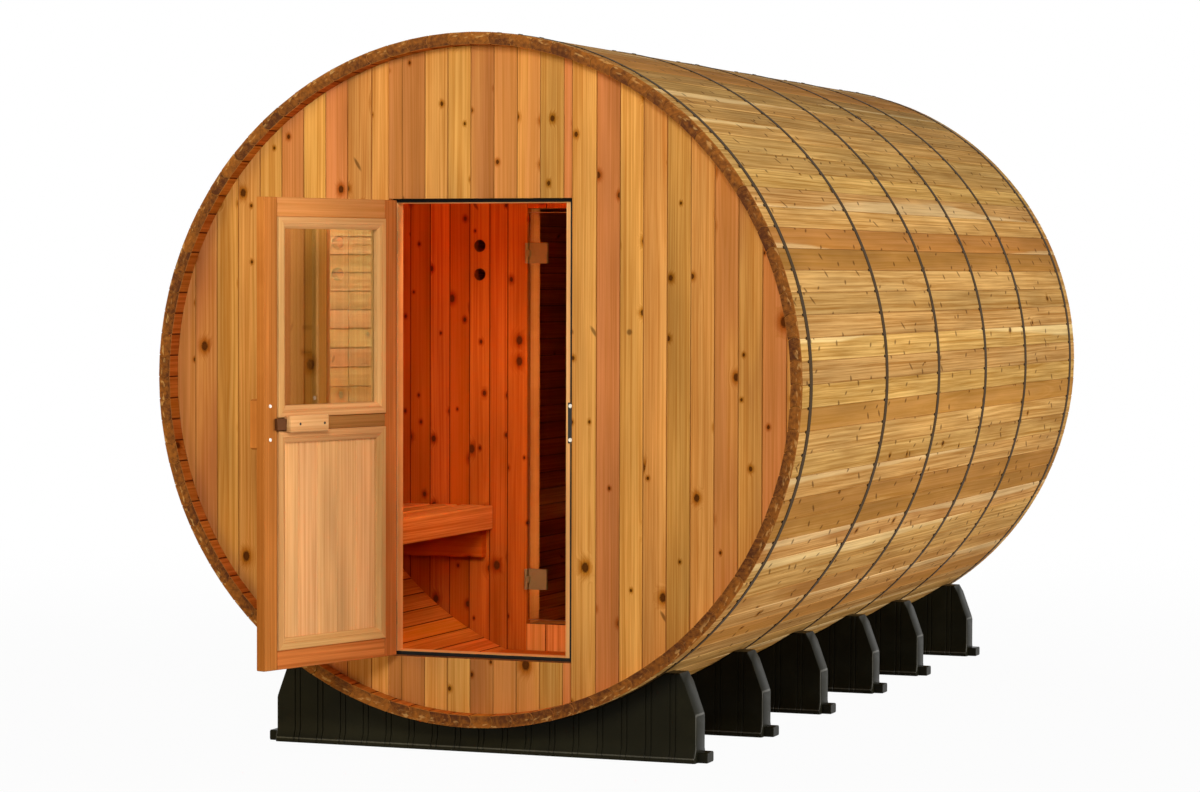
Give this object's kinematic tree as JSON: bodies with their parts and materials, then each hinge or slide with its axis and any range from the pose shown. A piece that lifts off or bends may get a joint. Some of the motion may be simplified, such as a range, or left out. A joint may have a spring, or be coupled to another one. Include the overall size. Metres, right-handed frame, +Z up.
{
  "type": "barrel sauna",
  "caption": "Timber barrel sauna lying on moulded cradles, with steel bands, a hinged front door with a window, a changing room with a bench, and a glass door to the hot room.",
  "frame": {"origin": "middle of the front cradle's flat underside, on the ground under the barrel's axis", "axes": "+Z up, +Y along the barrel from the front wall with the door to the back wall, +X to the right seen from the front"},
  "size_m": [2.1376, 4.0976, 2.2226],
  "materials": {
    "stave_cedar": "oiled cedar, satin",
    "wall_cedar": "planed knotty cedar, satin",
    "room_cedar": "planed cedar, bare",
    "bench_cedar": "planed cedar, bare",
    "trim_cedar": "planed clear cedar, bare",
    "door_cedar": "planed clear cedar, satin",
    "band_steel": "dark coated strap",
    "cradle_plastic": "moulded, matt",
    "seal_rubber": "soft, matt",
    "keeper_steel": "black coated",
    "hinge_metal": "brushed, warm grey",
    "window_glass": "clear float glass",
    "door_glass": "bronze tinted safety glass"
  },
  "bodies": {
    "sauna": {"stave_segment_1": "stave_cedar", "stave_segment_2": "stave_cedar", "stave_segment_3": "stave_cedar", "stave_segment_4": "stave_cedar", "stave_segment_5": "stave_cedar", "stave_segment_6": "stave_cedar", "stave_segment_7": "stave_cedar", "stave_segment_8": "stave_cedar", "band_1": "band_steel", "band_2": "band_steel", "band_3": "band_steel", "band_4": "band_steel", "band_5": "band_steel", "band_6": "band_steel", "cradle_1": "cradle_plastic", "cradle_2": "cradle_plastic", "cradle_3": "cradle_plastic", "cradle_4": "cradle_plastic", "cradle_5": "cradle_plastic", "cradle_6": "cradle_plastic", "front_wall_left": "wall_cedar", "front_vent_board": "wall_cedar", "front_jamb_board": "wall_cedar", "front_wall_over_door": "wall_cedar", "front_wall_under_door": "wall_cedar", "front_wall_right": "wall_cedar", "partition_left": "room_cedar", "partition_vent_board": "room_cedar", "partition_jamb_board": "room_cedar", "partition_over_door": "room_cedar", "partition_under_door": "room_cedar", "partition_right": "room_cedar", "back_wall": "wall_cedar", "changing_room_floor": "room_cedar", "door_stop": "trim_cedar", "door_seal": "seal_rubber", "door_keeper": "keeper_steel", "door_hinge_jamb_leaves": "hinge_metal", "bench_slats": "bench_cedar", "bench_apron": "bench_cedar", "bench_cleats": "bench_cedar", "glass_door_posts": "room_cedar", "glass_hinge_jamb_leaves": "hinge_metal"},
    "outer_door": {"door_frame": "door_cedar", "door_window": "window_glass", "door_panel": "trim_cedar", "door_beads": "trim_cedar", "door_inner_handle": "door_cedar", "door_catch": "keeper_steel", "door_outer_handle": "door_cedar", "door_hinge_leaves": "hinge_metal"},
    "glass_door": {"glass_pane": "door_glass", "glass_hinge_clamps": "hinge_metal", "glass_door_handle": "door_cedar"}
  },
  "joints": [
    {"name": "outer_door_hinge", "type": "hinge", "parent": "sauna", "child": "outer_door", "pos_m": [-0.2925, -0.101, 1], "axis": [0, 0, -1], "range_deg": [-107, 43]},
    {"name": "glass_door_hinge", "type": "hinge", "parent": "sauna", "child": "glass_door", "pos_m": [-0.2955, 1.061, 1], "axis": [0, 0, -1], "range_deg": [0, 95]}
  ]
}
